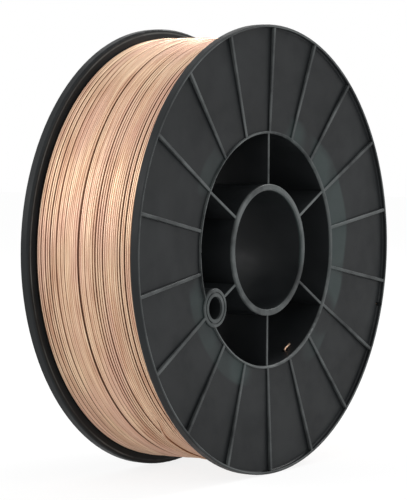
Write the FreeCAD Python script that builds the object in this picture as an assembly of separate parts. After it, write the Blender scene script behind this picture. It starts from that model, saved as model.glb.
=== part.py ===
import FreeCAD, Part
import math
import os

# A plastic wire spool standing on its two rims, wound nearly full with wire.
# Millimetres. The spool's axis is Y, its front flange faces -Y, and the origin is its centre.
# Angles are counted from +X towards +Z, as seen from the front.

# overall sizes
flangeDiameter = 200.0
overallWidth = 62.5
hubWidth = 57.9

# flange
rimThickness = 4.3        # along the axis
rimLand = 1.2             # flat ring on the rim's outer face
rimOuterRound = 0.5
rimInnerRound = 1.0
rimLandRound = 0.3
webDepthAtRim = 1.9       # how far the flange's face lies behind the rim's
webStepAtMouth = 0.9      # how far it lies behind the barrel's end
webRootRound = 0.6

# barrel that the wire is wound on
barrelDiameter = 108.0
barrelWall = 2.2
mouthLand = 1.1           # raised ring round the barrel's open end
mouthRound = 0.9

# hub with the spindle bore
boreDiameter = 53.0
hubWall = 2.9
hubRound = 0.6
boreEdgeRound = 0.8

# ribs on each flange, and spokes between hub and barrel
ribCount = 18
ribThickness = 1.5
ribSetback = 0.2          # rib tops lie this far behind the rim and the barrel's end
spokeCount = 6
spokeThickness = 1.3
spokeSetback = 0.75       # spoke ends lie this far behind the hub's ends
plateRound = 0.35         # along the free edges of ribs and spokes
topAngle = 89.3           # one rib and one spoke point up
sink = 0.6                # how far a rib or spoke runs into the wall that it joins

# eyelet for the drive pin, on one of the spokes
pinHoleDiameter = 10.0
pinBossWall = 3.5
pinHoleCover = 1.0        # wall left between the pin hole and the wire
pinBossRound = 0.5
pinGrooveWidth = 0.6
pinGrooveDepth = 0.5
pinSpoke = 2              # counted from the top spoke, over the left side as seen from the front

# hole in the front rim that holds the wire's outer end
rimHoleDiameter = 2.2
rimHoleCover = 0.7        # wall left outside the hole
rimHoleAngle = -17.5

# hole in the barrel for the wire's inner end
tailHoleClearance = 0.8   # between wire and hole, all round
tailHoleAngle = -65.0
tailHoleDepth = 6.0       # behind the barrel's front end

# wire
windingDiameter = 190.5
wireDiameter = 1.0
tailGap = 0.3             # between the bent inner end and the barrel's inner wall
tailLength = 4.5          # of the part that is bent along the wall

# worked out
flangeRadius = flangeDiameter / 2
rimFace = overallWidth / 2
hubFace = hubWidth / 2
flangeInnerFace = rimFace - rimThickness
rimLandRadius = flangeRadius - rimLand
barrelRadius = barrelDiameter / 2
barrelInnerRadius = barrelRadius - barrelWall
mouthRadius = barrelInnerRadius + mouthLand
boreRadius = boreDiameter / 2
hubRadius = boreRadius + hubWall
pinHoleRadius = pinHoleDiameter / 2
pinBossRadius = pinHoleRadius + pinBossWall
pinCircleRadius = barrelRadius - pinHoleCover - pinHoleRadius
pinAngle = topAngle + pinSpoke * 360 / spokeCount
wireRadius = wireDiameter / 2
tailY = tailHoleDepth - hubFace

centre = FreeCAD.Vector(0, 0, 0)
axis = FreeCAD.Vector(0, 1, 0)


def polar(radius, angle, y):
    turn = math.radians(angle)
    return FreeCAD.Vector(radius * math.cos(turn), y, radius * math.sin(turn))


def roundedWire(corners):
    """Closed wire in the X-Y plane through (x, y, round) corners, with an arc at each round one."""
    points = [FreeCAD.Vector(x, y, 0) for x, y, radius in corners]
    edges = []
    spans = []
    for index, (x, y, radius) in enumerate(corners):
        corner = points[index]
        before = (points[index - 1] - corner).normalize()
        after = (points[(index + 1) % len(points)] - corner).normalize()
        if radius == 0:
            spans.append((corner, corner))
            continue
        half = before.getAngle(after) / 2
        start = corner + before * (radius / math.tan(half))
        end = corner + after * (radius / math.tan(half))
        inward = (before + after).normalize()
        middle = corner + inward * (radius / math.sin(half) - radius)
        edges.append(Part.Arc(start, middle, end).toShape())
        spans.append((start, end))
    for index, (start, end) in enumerate(spans):
        edges.append(Part.LineSegment(spans[index - 1][1], start).toShape())
    return Part.Wire(Part.__sortEdges__(edges))


def turned(corners):
    """Solid of revolution about the spool's axis, from (radius, y, round) corners."""
    body = Part.Face(roundedWire(corners)).revolve(centre, axis, 360)
    body.rotate(centre, axis, -topAngle)   # its seam lies along the top rib
    return body


def bothHalves(backHalf):
    """The corners of the back half, followed by the same ones for the front half."""
    frontHalf = [(radius, -y, edgeRound) for radius, y, edgeRound in reversed(backHalf)]
    return backHalf + frontHalf


def barrelAndFlanges():
    return turned(bothHalves([
        (barrelInnerRadius, hubFace, mouthRound),
        (mouthRadius, hubFace, 0),
        (mouthRadius, hubFace - webStepAtMouth, 0),
        (rimLandRadius, rimFace - webDepthAtRim, webRootRound),
        (rimLandRadius, rimFace, rimLandRound),
        (flangeRadius, rimFace, rimOuterRound),
        (flangeRadius, flangeInnerFace, rimInnerRound),
        (barrelRadius, flangeInnerFace, 0),
    ]))


def hub():
    return turned(bothHalves([
        (boreRadius, hubFace, boreEdgeRound),
        (hubRadius, hubFace, hubRound),
    ]))


def radialPlate(outline, thickness, angle):
    """Plate in a plane through the axis. Its first two (radius, y) corners end its free edge."""
    points = [FreeCAD.Vector(radius, y, -thickness / 2) for radius, y in outline]
    face = Part.Face(Part.makePolygon(points + points[:1]))
    plate = face.extrude(FreeCAD.Vector(0, 0, thickness))
    middle = (points[0] + points[1]) / 2
    rounded = [
        edge for edge in plate.Edges
        if math.hypot(edge.CenterOfMass.x - middle.x, edge.CenterOfMass.y - middle.y) < 0.001
    ]
    plate = plate.makeFillet(min(plateRound, 0.4 * thickness), rounded)
    plate.rotate(centre, axis, -angle)
    return plate


def ribs():
    """Ribs on both flanges: their tops run from the rim down to the barrel's end."""
    outer = rimLandRadius + sink
    inner = mouthRadius - sink
    foot = flangeInnerFace + sink
    outline = [(outer, rimFace - ribSetback), (inner, hubFace - ribSetback), (inner, foot), (outer, foot)]
    plates = []
    for index in range(ribCount):
        angle = topAngle + index * 360 / ribCount
        for side in (-1, 1):
            corners = [(radius, side * y) for radius, y in outline]
            plates.append(radialPlate(corners, ribThickness, angle))
    return plates


def spokes():
    inner = hubRadius - sink
    outer = barrelInnerRadius + sink
    end = hubFace - spokeSetback
    plates = []
    for index in range(spokeCount):
        angle = topAngle + index * 360 / spokeCount
        for side in (-1, 1):
            corners = [(inner, side * end), (outer, side * end), (outer, 0), (inner, 0)]
            plates.append(radialPlate(corners, spokeThickness, angle))
    return plates


def rod(place, radius, low, high):
    """Cylinder along the spool's axis through a place, from one y to another."""
    return Part.makeCylinder(radius, high - low, FreeCAD.Vector(place.x, low, place.z), axis)


def pinBoss():
    """The eyelet stands out beyond the barrel only inside the flanges, never among the wire."""
    boss = rod(polar(pinCircleRadius, pinAngle, 0), pinBossRadius, -hubFace, hubFace)
    rims = [edge for edge in boss.Edges if edge.isClosed()]
    boss = boss.makeFillet(pinBossRound, rims)
    wireRoom = rod(centre, flangeRadius, -flangeInnerFace, flangeInnerFace)
    wireRoom = wireRoom.cut(rod(centre, barrelRadius - sink, -hubFace, hubFace))
    return boss.cut(wireRoom)


def pinHole():
    """The drive pin's hole, with a ring groove round it in each face of the eyelet."""
    place = polar(pinCircleRadius, pinAngle, 0)
    hole = rod(place, pinHoleRadius, -rimFace, rimFace)
    middle = (pinHoleRadius + pinBossRadius) / 2
    for floor, face in ((hubFace - pinGrooveDepth, rimFace), (-rimFace, pinGrooveDepth - hubFace)):
        groove = rod(place, middle + pinGrooveWidth / 2, floor, face)
        core = rod(place, middle - pinGrooveWidth / 2, floor, face)
        hole = hole.fuse(groove.cut(core))
    return hole


def rimHole():
    radius = rimHoleDiameter / 2
    place = polar(flangeRadius - rimHoleCover - radius, rimHoleAngle, 0)
    return rod(place, radius, -rimFace - sink, sink - flangeInnerFace)


def tailHole():
    start = polar(hubRadius + sink, tailHoleAngle, tailY)
    end = polar(barrelRadius + sink, tailHoleAngle, tailY)
    return Part.makeCylinder(wireRadius + tailHoleClearance, (end - start).Length, start, end - start)


def spool():
    body = barrelAndFlanges().multiFuse([hub(), pinBoss()] + ribs() + spokes())
    return body.cut([pinHole(), rimHole(), tailHole()])


def tail():
    """The wire's inner end: through the barrel's wall, then bent along its inside."""
    start = polar(barrelRadius + sink, tailHoleAngle, tailY)
    bend = polar(barrelInnerRadius - tailGap - wireRadius, tailHoleAngle, tailY)
    along = polar(1, tailHoleAngle + 90, 0)
    through = Part.makeCylinder(wireRadius, (bend - start).Length, start, bend - start)
    bent = Part.makeCylinder(wireRadius, tailLength, bend, along)
    return through.fuse([bent, Part.makeSphere(wireRadius, bend)])


def weldingWire():
    """The winding as one turned ring on the barrel, between the flanges."""
    ring = turned([
        (barrelRadius, -flangeInnerFace, 0),
        (windingDiameter / 2, -flangeInnerFace, 0),
        (windingDiameter / 2, flangeInnerFace, 0),
        (barrelRadius, flangeInnerFace, 0),
    ])
    return ring.fuse(tail())


os.makedirs("parts", exist_ok=True)
for name, shape in {"spool": spool(), "welding_wire": weldingWire()}.items():
    solid = shape.removeSplitter().Solids[0]
    print(name, "solids:", len(shape.Solids), "valid:", solid.isValid(), "volume:", round(solid.Volume))
    solid.exportStep("parts/" + name + ".step")
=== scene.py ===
import math

import bpy
import numpy as np
from mathutils import Matrix, Vector


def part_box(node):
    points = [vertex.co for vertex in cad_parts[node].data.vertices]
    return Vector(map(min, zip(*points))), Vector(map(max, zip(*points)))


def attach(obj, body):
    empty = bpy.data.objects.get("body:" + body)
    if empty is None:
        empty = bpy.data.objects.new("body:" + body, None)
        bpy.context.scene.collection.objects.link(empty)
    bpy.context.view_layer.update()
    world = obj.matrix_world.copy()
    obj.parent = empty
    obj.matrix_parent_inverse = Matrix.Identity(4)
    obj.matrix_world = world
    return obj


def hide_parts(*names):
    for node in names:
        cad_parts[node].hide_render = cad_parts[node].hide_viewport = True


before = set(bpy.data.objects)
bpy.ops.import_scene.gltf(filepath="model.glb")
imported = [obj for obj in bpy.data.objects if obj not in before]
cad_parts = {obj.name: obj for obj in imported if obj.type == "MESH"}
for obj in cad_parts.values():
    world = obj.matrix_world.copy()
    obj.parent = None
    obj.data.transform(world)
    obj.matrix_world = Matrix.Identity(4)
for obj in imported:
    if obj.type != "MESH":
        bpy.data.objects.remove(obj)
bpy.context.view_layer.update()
scene = bpy.context.scene
print("frame loaded:", sorted(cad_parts))

mm = 0.001
wireLow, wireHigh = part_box("welding_wire")
spoolLow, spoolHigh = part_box("spool")
windingRadius = wireHigh.x         # outside of the winding
windingHalf = wireHigh.y           # half its width, to each flange's inner face
floorHeight = spoolLow.z


def newMaterial(name):
    material = bpy.data.materials.new(name)
    material.use_nodes = True
    tree = material.node_tree
    shader = tree.nodes["Principled BSDF"]
    return material, tree, shader


def addNode(tree, kind, settings=None, **inputs):
    # makes a node, sets its own settings, then fills its sockets by name or links them
    node = tree.nodes.new(kind)
    for key, value in (settings or {}).items():
        setattr(node, key, value)
    for key, value in inputs.items():
        socket = node.inputs[key.replace("_", " ")]
        if isinstance(value, bpy.types.NodeSocket):
            tree.links.new(value, socket)
        else:
            socket.default_value = value
    return node


def noise(tree, vector, scale, detail=2.0, roughness=0.5):
    node = addNode(tree, "ShaderNodeTexNoise", Vector=vector, Scale=scale, Detail=detail,
                   Roughness=roughness)
    return node.outputs["Fac"]


def stretched(tree, vector, scale):
    node = addNode(tree, "ShaderNodeMapping", Vector=vector)
    node.inputs["Scale"].default_value = scale
    return node.outputs["Vector"]


def remap(tree, value, fromLow, fromHigh, toLow=0.0, toHigh=1.0):
    # straight-line change of range, clamped at both ends
    node = addNode(tree, "ShaderNodeMapRange", {"clamp": True}, Value=value)
    for key, number in (("From Min", fromLow), ("From Max", fromHigh),
                        ("To Min", toLow), ("To Max", toHigh)):
        node.inputs[key].default_value = number
    return node.outputs["Result"]


def mixColour(tree, factor, first, second, blend="MIX"):
    node = tree.nodes.new("ShaderNodeMix")
    node.data_type = "RGBA"
    node.blend_type = blend
    for index, value in ((0, factor), (6, first), (7, second)):
        if isinstance(value, bpy.types.NodeSocket):
            tree.links.new(value, node.inputs[index])
        elif index == 0:
            node.inputs[index].default_value = value
        else:
            node.inputs[index].default_value = (*value, 1.0)
    return node.outputs[2]


def calculate(tree, operation, first, second=0.0):
    node = tree.nodes.new("ShaderNodeMath")
    node.operation = operation
    for index, value in ((0, first), (1, second)):
        if isinstance(value, bpy.types.NodeSocket):
            tree.links.new(value, node.inputs[index])
        else:
            node.inputs[index].default_value = value
    return node.outputs[0]


def axisPlace(tree, place):
    # distance from the spool's axis, sqrt(x^2 + z^2), and distance from its middle plane, |y|
    parts = addNode(tree, "ShaderNodeSeparateXYZ", Vector=place).outputs
    across = calculate(tree, "MULTIPLY", parts["X"], parts["X"])
    upward = calculate(tree, "MULTIPLY", parts["Z"], parts["Z"])
    radius = calculate(tree, "SQRT", calculate(tree, "ADD", across, upward))
    return radius, calculate(tree, "ABSOLUTE", parts["Y"])


plasticLook = {
    "dark": (0.0095, 0.0108, 0.0118),
    "light": (0.0165, 0.0185, 0.0197),
    "edgeHighlight": (0.115, 0.125, 0.125),        # painted highlight along raised edges
    "reflectionTint": (0.036, 0.050, 0.049),     # painted reflection round the mouth of the barrel
    "roughLow": 0.34,
    "roughHigh": 0.50,
    "grain": 2600.0,                      # fine surface grain, per metre
    "grainHeight": 0.00003,
    "waves": 38.0,                        # slow sink marks
    "wavesHeight": 0.0006,
    "mouthRadius": 52.9 * mm,
    "landRadius": 98.8 * mm,
    "boreEdge": 27.25 * mm,
    "faceAtMouth": 28.05 * mm,
    "faceAtRim": 29.35 * mm,
    "spokeEnd": 28.2 * mm,
    "rimFace": 31.25 * mm,
    "lipRadius": 98.3 * mm,
}


def paintedEdgeHighlight(tree, radius, depth):
    # Painted highlight: a point is made pale where it stands before the flange's face, which runs
    # straight from mouth to rim; inside the mouth, where it reaches the spokes' ends.
    look = plasticLook
    face = remap(tree, radius, look["mouthRadius"], look["landRadius"],
                 look["faceAtMouth"], look["faceAtRim"])
    above = calculate(tree, "SUBTRACT", depth, face)
    ribs = remap(tree, above, 0.25 * mm, 0.55 * mm, 0.0, 0.75)
    onFace = calculate(tree, "LESS_THAN", radius, look["landRadius"] - 0.2 * mm)
    ribs = calculate(tree, "MULTIPLY", ribs, onFace)
    land = remap(tree, depth, look["rimFace"] - 0.35 * mm, look["rimFace"] - 0.05 * mm)
    fade = remap(tree, radius, look["landRadius"] + 0.3 * mm, look["landRadius"] + 0.7 * mm, 1.0, 0.35)
    land = calculate(tree, "MULTIPLY", land, fade)
    outer = calculate(tree, "GREATER_THAN", radius, look["landRadius"] - 0.3 * mm)
    land = calculate(tree, "MULTIPLY", land, outer)
    inside = calculate(tree, "LESS_THAN", radius, look["mouthRadius"] + 0.1 * mm)
    ends = remap(tree, depth, look["spokeEnd"] - 0.45 * mm, look["spokeEnd"] - 0.1 * mm)
    ends = calculate(tree, "MULTIPLY", ends, inside)
    outsideBore = remap(tree, radius, look["boreEdge"] - 0.3 * mm, look["boreEdge"])
    ends = calculate(tree, "MULTIPLY", ends, outsideBore)
    return calculate(tree, "MAXIMUM", calculate(tree, "MAXIMUM", ribs, land), ends)


def rimLipHighlight(tree, radius, depth):
    # a painted highlight: a thin pale line near the rim on each flange's inner face
    look = plasticLook
    away = calculate(tree, "ABSOLUTE", calculate(tree, "SUBTRACT", radius, look["lipRadius"]))
    line = remap(tree, away, 0.15 * mm, 0.5 * mm, 1.0, 0.0)
    between = calculate(tree, "LESS_THAN", depth, windingHalf + 0.2 * mm)
    return calculate(tree, "MULTIPLY", line, between)


def paleReflectionBand(tree, place, radius, depth):
    # A painted reflection on the flange's face, from the mouth out to an uneven edge.
    look = plasticLook
    edge = calculate(tree, "MULTIPLY_ADD", noise(tree, place, 16.0, 1.0), 0.022)
    edge.node.inputs[2].default_value = look["mouthRadius"]
    reach = calculate(tree, "SUBTRACT", edge, radius)
    band = remap(tree, reach, -0.3 * mm, 1.2 * mm)
    patch = remap(tree, noise(tree, place, 21.0, 2.0, 0.6), 0.44, 0.56)
    onFace = calculate(tree, "GREATER_THAN", depth, look["faceAtMouth"] - 0.3 * mm)
    return calculate(tree, "MULTIPLY", calculate(tree, "MULTIPLY", band, patch), onFace)


def plasticMaterial():
    look = plasticLook
    material, tree, shader = newMaterial("mouldedPlastic")
    place = tree.nodes.new("ShaderNodeTexCoord").outputs["Object"]
    radius, depth = axisPlace(tree, place)
    cloud = noise(tree, place, 24.0, 3.0, 0.55)
    colour = mixColour(tree, remap(tree, cloud, 0.35, 0.65), look["dark"], look["light"])
    # painted reflection round the mouth, on the flange's face
    reflectionAmount = paleReflectionBand(tree, place, radius, depth)
    colour = mixColour(tree, calculate(tree, "MULTIPLY", reflectionAmount, 0.8), colour, look["reflectionTint"])
    # painted highlights on raised edges and on the line near the rim, made uneven by noise
    highlightBreakup = remap(tree, noise(tree, place, 34.0, 4.0, 0.65), 0.38, 0.62, 0.2, 1.0)
    edges = calculate(tree, "MAXIMUM", paintedEdgeHighlight(tree, radius, depth), rimLipHighlight(tree, radius, depth))
    edgeHighlight = calculate(tree, "MULTIPLY", edges, highlightBreakup)
    colour = mixColour(tree, edgeHighlight, colour, look["edgeHighlight"])
    tree.links.new(colour, shader.inputs["Base Color"])
    smear = noise(tree, place, 90.0, 4.0, 0.6)
    rough = remap(tree, smear, 0.35, 0.65, look["roughLow"], look["roughHigh"])
    tree.links.new(rough, shader.inputs["Roughness"])
    slow = addNode(tree, "ShaderNodeBump", Height=noise(tree, place, look["waves"], 1.0),
                   Strength=0.35, Distance=look["wavesHeight"])
    fine = addNode(tree, "ShaderNodeBump", Height=noise(tree, place, look["grain"], 2.0),
                   Strength=0.25, Distance=look["grainHeight"], Normal=slow.outputs["Normal"])
    tree.links.new(fine.outputs["Normal"], shader.inputs["Normal"])
    shader.inputs["IOR"].default_value = 1.24
    return material


def smoothstep(t):
    t = np.clip(t, 0.0, 1.0)
    return t * t * (3.0 - 2.0 * t)


def meshObject(name, verts, quads, triangles=None, smooth=True):
    faces = [quads] if triangles is None else [quads, triangles]
    sizes = np.concatenate([np.full(len(f), f.shape[1]) for f in faces])
    corners = np.concatenate([f.ravel() for f in faces])
    mesh = bpy.data.meshes.new(name)
    mesh.vertices.add(len(verts))
    mesh.vertices.foreach_set("co", np.ascontiguousarray(verts, np.float32).ravel())
    mesh.loops.add(len(corners))
    mesh.loops.foreach_set("vertex_index", corners.astype(np.int32))
    mesh.polygons.add(len(sizes))
    starts = np.concatenate([[0], np.cumsum(sizes)[:-1]])
    mesh.polygons.foreach_set("loop_start", starts.astype(np.int32))
    mesh.polygons.foreach_set("use_smooth", np.full(len(sizes), smooth))
    mesh.update(calc_edges=True)
    mesh.validate()
    piece = bpy.data.objects.new(name, mesh)
    scene.collection.objects.link(piece)
    return piece


def sweepTube(name, path, radius, sides, reference):
    # A closed tube: round each path point a ring radius * (n cos a + b sin a), where n is the
    # reference direction squared to the path's tangent t, and b = n x t. A point caps each end.
    tangent = np.gradient(path, axis=0)
    tangent /= np.linalg.norm(tangent, axis=1, keepdims=True)
    normal = reference - tangent * np.sum(reference * tangent, axis=1, keepdims=True)
    normal /= np.linalg.norm(normal, axis=1, keepdims=True)
    side = np.cross(normal, tangent)
    turn = np.linspace(0.0, 2.0 * np.pi, sides, endpoint=False)
    ring = path[:, None, :] + radius * (np.cos(turn)[None, :, None] * normal[:, None, :]
                                        + np.sin(turn)[None, :, None] * side[:, None, :])
    count = len(path)
    verts = np.vstack([ring.reshape(-1, 3), path[:1], path[-1:]])
    i = np.arange(count - 1)[:, None] * sides
    j = np.arange(sides)[None, :]
    k = (j + 1) % sides
    quads = np.stack([i + j, i + k, i + sides + k, i + sides + j], -1).reshape(-1, 4)[:, ::-1]
    j, k = j[0], k[0]
    last = (count - 1) * sides
    caps = np.vstack([np.stack([k, j, np.full(sides, count * sides)], 1),
                      np.stack([last + j, last + k, np.full(sides, count * sides + 1)], 1)])[:, ::-1]
    return meshObject(name, verts, quads, caps)


def radialDirection(path):
    outward = path * np.array([1.0, 0.0, 1.0])
    return outward / np.linalg.norm(outward, axis=1, keepdims=True)


windingLook = {
    "wireDiameter": 1.0 * mm,
    "turns": 47,
    "samplesPerTurn": 180,
    "sides": 8,
    "endSides": 16,           # the inner end shows close by itself
    "spacings": [0.0, 0.05, 0.12, 0.34, 0.6],    # extra room after a turn, in wire diameters
    "shares": [0.36, 0.2, 0.16, 0.16, 0.12],
    "sag": 0.95 * mm,         # how far the top layer lies below its outside size in front
    "crown": 1.3 * mm,        # how much higher it lies at the back flange
    "wander": 0.42 * mm,      # slow sideways drift that neighbouring turns share
    "wobble": 0.03 * mm,      # each turn's own
    "lift": 0.32 * mm,
    "seed": 7,
    "outerTurns": 13,         # part of a last layer, beside the front flange
    "outerWidth": 13.1 * mm,
    "outerRise": 0.88 * mm,   # above the top layer
    "firstStep": 4.4 * mm,    # the first of them crosses its neighbours
    "crossingAngle": -127.0,  # degrees, where the outer turns step sideways
    "holeAngle": -17.5,       # of the hole in the rim that takes the outer end
    "holeRadius": 98.2 * mm,
    "endDepth": -28.6 * mm,
    "tailAngle": -65.0,
    "tailDepth": -22.95 * mm,
    "tailLength": 4.5 * mm,
    "tailRadius": 51.0 * mm,     # where the inner end bends
    "barrelRadius": 54.0 * mm,
}


def sharedDrift(random, turns, order):
    # random numbers along the turns, smoothed so that five neighbours nearly agree
    raw = random.standard_normal(turns + 6)
    return np.convolve(raw, np.ones(5) / 5, mode="valid") * np.sqrt(5) / order


def layerPath(turns, radius, low, high, random, direction=1.0):
    # A helix along the axis: each turn keeps its own small shift and lift, and eases into
    # the next turn's near its end; slow sines along the wire make gaps open and close.
    look = windingLook
    u = np.linspace(0.0, turns, turns * look["samplesPerTurn"] + 1)
    whole = np.minimum(u.astype(int), turns - 1)
    ease = smoothstep((u - whole - 0.86) / 0.14)
    spacing = 1.0 + random.choice(look["spacings"], turns + 1, p=look["shares"])
    start = np.cumsum(spacing)
    start = (start - start[0]) / (start[-1] - start[0])
    lifts = look["lift"] * random.random(turns + 1) ** 2
    axial = start[whole] * (1 - ease) + start[whole + 1] * ease
    rise = lifts[whole] * (1 - ease) + lifts[whole + 1] * ease
    theta = 2.0 * np.pi * u * direction
    shift = np.zeros_like(u)
    for order in (1, 2, 3):
        for wave in (np.sin, np.cos):
            group = look["wander"] * sharedDrift(random, turns, order) / 3
            own = look["wobble"] * random.standard_normal(turns + 2) / order
            size = group + own
            eased = size[whole] * (1 - ease) + size[whole + 1] * ease
            shift += wave(order * theta) * eased
    fade = smoothstep(6.0 * np.minimum(axial, 1.0 - axial))
    y = np.clip(low + (high - low) * axial + shift * fade, min(low, high), max(low, high))
    r = radius + rise + look["crown"] * smoothstep(y / abs(high - low) + 0.5)
    return np.stack([r * np.cos(theta), y, r * np.sin(theta)], 1)


def outerTurnsPath(radius, edge, random):
    # The last turns lie on the top layer beside the front flange: y steps sideways each time
    # round, over a short arc. The end rises to the rim's hole, bends (quadratic) and enters it.
    look = windingLook
    turns = look["outerTurns"]
    gaps = 1.0 + random.choice(look["spacings"], turns - 1, p=look["shares"])
    places = np.concatenate([[0.0], np.cumsum(gaps)]) * look["outerWidth"] / gaps.sum()
    places = np.append(places, places[-1] + look["firstStep"])[::-1]
    crossing, hole = math.radians(look["crossingAngle"]), math.radians(look["holeAngle"])
    bend = 1.2 * mm
    last = hole - 2.0 * math.pi * turns + bend / look["holeRadius"]
    theta = np.linspace(crossing + 0.9, last, (turns + 1) * look["samplesPerTurn"])
    near = np.round((crossing - theta) / (2.0 * np.pi))
    step = near + smoothstep((crossing - theta - 2.0 * np.pi * near) / 0.24 + 0.5)
    y = -edge + np.interp(step, np.arange(turns + 1), places)
    r = radius + look["outerRise"] + look["crown"] * smoothstep(y / (2.0 * edge) + 0.5)
    r -= look["outerRise"] * (1.0 - smoothstep((theta[0] - theta) / 0.3))
    r += (look["holeRadius"] - r) * smoothstep((last + 0.35 - theta) / 0.35)
    path = np.stack([r * np.cos(theta), y, r * np.sin(theta)], 1)
    onward = np.array([math.sin(last), 0.0, -math.cos(last)])
    corner = path[-1] + onward * bend
    t = np.linspace(0.0, 1.0, 9)[1:, None]
    inward = np.array([0.0, bend, 0.0])
    curve = (1 - t) ** 2 * path[-1] + 2 * t * (1 - t) * corner + t ** 2 * (corner - inward)
    end = np.array([corner[0], look["endDepth"], corner[2]])
    return np.vstack([path, curve, end])


def tailPath():
    # Straight in through the barrel's wall, then a quadratic bend, then straight along the wall.
    look = windingLook
    turn = math.radians(look["tailAngle"])
    outward = np.array([math.cos(turn), 0.0, math.sin(turn)])
    along = np.array([-math.sin(turn), 0.0, math.cos(turn)])
    corner = outward * look["tailRadius"] + np.array([0.0, look["tailDepth"], 0.0])
    bend = 0.9 * mm
    t = np.linspace(0.0, 1.0, 9)[:, None]
    first, last = corner + outward * bend, corner + along * bend
    curve = (1 - t) ** 2 * first + 2 * t * (1 - t) * corner + t ** 2 * last
    start = corner + outward * (look["barrelRadius"] + 0.5 * mm - look["tailRadius"])
    return np.vstack([start, curve, corner + along * look["tailLength"]])


copperLook = {
    # painted shade in the grooves between turns
    "grooveShade": (0.30, 0.15, 0.09),
    "rose": (0.62, 0.38, 0.255),
    "cream": (0.88, 0.66, 0.465),
    "pink": (0.74, 0.47, 0.365),
    "roughLow": 0.32,
    "roughHigh": 0.46,
    "innermost": 60.0 * mm,   # nearer the axis than this, the wire isn't in a groove and gets no painted shade
}


def layerRise(tree, place):
    # how much higher than at the front edge the outermost wires lie: eased from flange to
    # flange as the top layer's rise is, with the last part layer's step beside the front one
    look = windingLook
    across = addNode(tree, "ShaderNodeSeparateXYZ", Vector=place).outputs["Y"]
    node = addNode(tree, "ShaderNodeMapRange", {"interpolation_type": "SMOOTHSTEP"}, Value=across)
    for key, number in (("From Min", -windingHalf), ("From Max", windingHalf),
                        ("To Max", look["crown"])):
        node.inputs[key].default_value = number
    end = look["outerWidth"] - windingHalf + 1.0 * mm
    step = remap(tree, across, end - 0.2 * mm, end + 0.2 * mm, look["outerRise"], 0.0)
    return calculate(tree, "ADD", node.outputs["Result"], step)


def copperMaterial():
    # Thin copper coating: bands of tint along the wire, and painted shade down in the grooves.
    look = copperLook
    material, tree, shader = newMaterial("copperCoat")
    place = tree.nodes.new("ShaderNodeTexCoord").outputs["Object"]
    radius = axisPlace(tree, place)[0]
    broad = noise(tree, stretched(tree, place, (0.10, 1.0, 0.10)), 260.0, 2.0, 0.6)
    narrow = noise(tree, stretched(tree, place, (0.05, 1.0, 0.05)), 1100.0, 1.0, 0.5)
    tint = remap(tree, calculate(tree, "ADD", calculate(tree, "MULTIPLY", broad, 0.55),
                                 calculate(tree, "MULTIPLY", narrow, 0.45)), 0.38, 0.62)
    colour = mixColour(tree, tint, look["rose"], look["cream"])
    patches = noise(tree, stretched(tree, place, (0.3, 1.0, 0.3)), 75.0, 1.0)
    blush = remap(tree, patches, 0.46, 0.62, 0.0, 0.6)
    colour = mixColour(tree, blush, colour, look["pink"])
    # painted shade: darker the lower a wire lies below the top layer
    top = windingRadius - windingLook["sag"]
    height = calculate(tree, "SUBTRACT", radius, layerRise(tree, place))
    grooveShadeRamp = remap(tree, height, top - 0.65 * mm, top, 1.0, 0.0)
    wound = calculate(tree, "GREATER_THAN", radius, look["innermost"])
    grooveShade = calculate(tree, "MULTIPLY", grooveShadeRamp, wound)
    colour = mixColour(tree, calculate(tree, "MULTIPLY", grooveShade, 0.85), colour, look["grooveShade"])
    tree.links.new(colour, shader.inputs["Base Color"])
    shader.inputs["Metallic"].default_value = 1.0
    rough = remap(tree, noise(tree, place, 300.0, 2.0), 0.3, 0.7, look["roughLow"], look["roughHigh"])
    tree.links.new(rough, shader.inputs["Roughness"])
    return material


def makeWinding():
    look = windingLook
    random = np.random.default_rng(look["seed"])
    radius = look["wireDiameter"] / 2
    edge = windingHalf - radius - 0.05 * mm
    top = windingRadius - radius - look["sag"]
    copper = copperMaterial()
    paths = {
        "wire_top_layer": layerPath(look["turns"], top, -edge, edge, random),
        "wire_second_layer": layerPath(look["turns"], top - 1.7 * radius, edge, -edge, random, -1.0),
        "wire_outer_turns": outerTurnsPath(top, edge, random),
    }
    pieces = {name: sweepTube(name, path, radius, look["sides"], radialDirection(path))
              for name, path in paths.items()}
    path = tailPath()
    axis = np.tile([0.0, 1.0, 0.0], (len(path), 1))
    pieces["wire_inner_end"] = sweepTube("wire_inner_end", path, radius, look["endSides"], axis)
    for piece in pieces.values():
        piece.data.materials.append(copper)
        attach(piece, "root")
    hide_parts("welding_wire")
    print("winding made:", {name: len(piece.data.polygons) for name, piece in pieces.items()})


studio = {
    "world": 0.75,
    "floorSize": 6.0,
    "floorGlow": 1.06,
    "lamps": [
        # name, place, size, watts
        ("key", (1.35, -0.35, 1.15), 0.45, 12.0),
        ("left", (-1.35, 0.85, 0.7), 1.0, 9.0),
        ("front", (-0.3, -1.6, 1.0), 0.7, 4.0),
    ],
}

cameraView = {
    "azimuth": -54.568,       # degrees round from the front, to the left
    "elevation": 2.557,
    "distance": 0.90971,
    "right": -0.005906,
    "up": -0.000771,
    "lens": 144.19,
}


def makeWorld():
    # white where the camera, a mirror or glass looks at it, and a plain level as light
    world = bpy.data.worlds.new("studioWorld")
    scene.world = world
    world.use_nodes = True
    tree = world.node_tree
    tree.nodes.clear()
    rays = tree.nodes.new("ShaderNodeLightPath").outputs
    seen = calculate(tree, "MAXIMUM", rays["Is Camera Ray"], rays["Is Glossy Ray"])
    seen = calculate(tree, "MAXIMUM", seen, rays["Is Transmission Ray"])
    strength = remap(tree, seen, 0.0, 1.0, studio["world"], 1.0)
    back = addNode(tree, "ShaderNodeBackground", Color=(1.0, 1.0, 1.0, 1.0), Strength=strength)
    out = tree.nodes.new("ShaderNodeOutputWorld")
    tree.links.new(back.outputs[0], out.inputs["Surface"])


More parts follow.
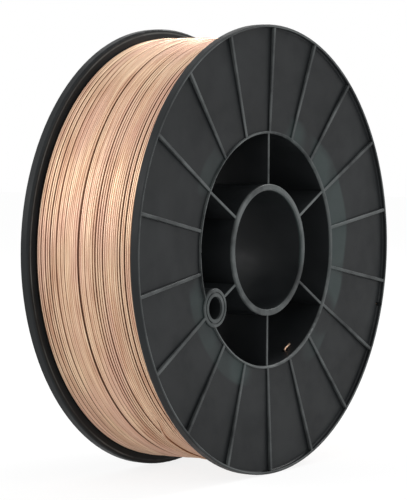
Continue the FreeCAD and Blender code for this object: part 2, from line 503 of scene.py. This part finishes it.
def makeFloor():
    # white to the camera, with the object's shadow on it
    size = studio["floorSize"]
    corners = np.array([(-size, -size, 0), (size, -size, 0), (size, size, 0), (-size, size, 0)], float)
    corners[:, 2] = floorHeight
    floor = meshObject("floor", corners, np.array([[0, 1, 2, 3]]), smooth=False)
    material, tree, shader = newMaterial("paleFloor")
    tree.nodes.remove(shader)
    rays = tree.nodes.new("ShaderNodeLightPath").outputs
    diffuse = addNode(tree, "ShaderNodeBsdfDiffuse", Color=(0.9, 0.9, 0.9, 1.0))
    glow = addNode(tree, "ShaderNodeEmission", Color=(1.0, 1.0, 1.0, 1.0), Strength=studio["floorGlow"])
    seen = calculate(tree, "MAXIMUM", rays["Is Camera Ray"], rays["Is Transmission Ray"])
    mirrored = calculate(tree, "MULTIPLY", rays["Is Glossy Ray"], 0.35)
    share = calculate(tree, "MAXIMUM", calculate(tree, "MULTIPLY", seen, 0.8), mirrored)
    mix = addNode(tree, "ShaderNodeMixShader", Fac=share)
    tree.links.new(diffuse.outputs[0], mix.inputs[1])
    tree.links.new(glow.outputs[0], mix.inputs[2])
    tree.links.new(mix.outputs[0], tree.nodes["Material Output"].inputs["Surface"])
    floor.data.materials.append(material)


def makeLamps():
    for name, place, size, watts in studio["lamps"]:
        lamp = bpy.data.lights.new(name, "AREA")
        lamp.size = size
        lamp.energy = watts
        holder = bpy.data.objects.new(name, lamp)
        scene.collection.objects.link(holder)
        holder.location = place
        holder.rotation_euler = (-Vector(place)).to_track_quat("-Z", "Y").to_euler()


def makeCamera():
    # the camera stands back from a point beside the object's centre and looks straight at it
    view = cameraView
    a, e = math.radians(view["azimuth"]), math.radians(view["elevation"])
    back = Vector((math.sin(a) * math.cos(e), -math.cos(a) * math.cos(e), math.sin(e)))
    right = Vector((math.cos(a), math.sin(a), 0.0))
    up = back.cross(right)
    place = right * view["right"] + up * view["up"] + back * view["distance"]
    camera = bpy.data.objects.new("camera", bpy.data.cameras.new("camera"))
    camera.data.lens = view["lens"]
    camera.matrix_world = Matrix((right, up, back)).transposed().to_4x4()
    camera.location = place
    scene.collection.objects.link(camera)
    scene.camera = camera


scene.view_settings.view_transform = "Standard"
makeCamera()
makeWorld()
makeFloor()
makeLamps()
print("studio made")
makeWinding()

spoolPlastic = plasticMaterial()
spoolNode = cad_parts["spool"]
for slot in spoolNode.material_slots:
    slot.material = spoolPlastic
print("plastic assigned to", len(spoolNode.material_slots), "slot")
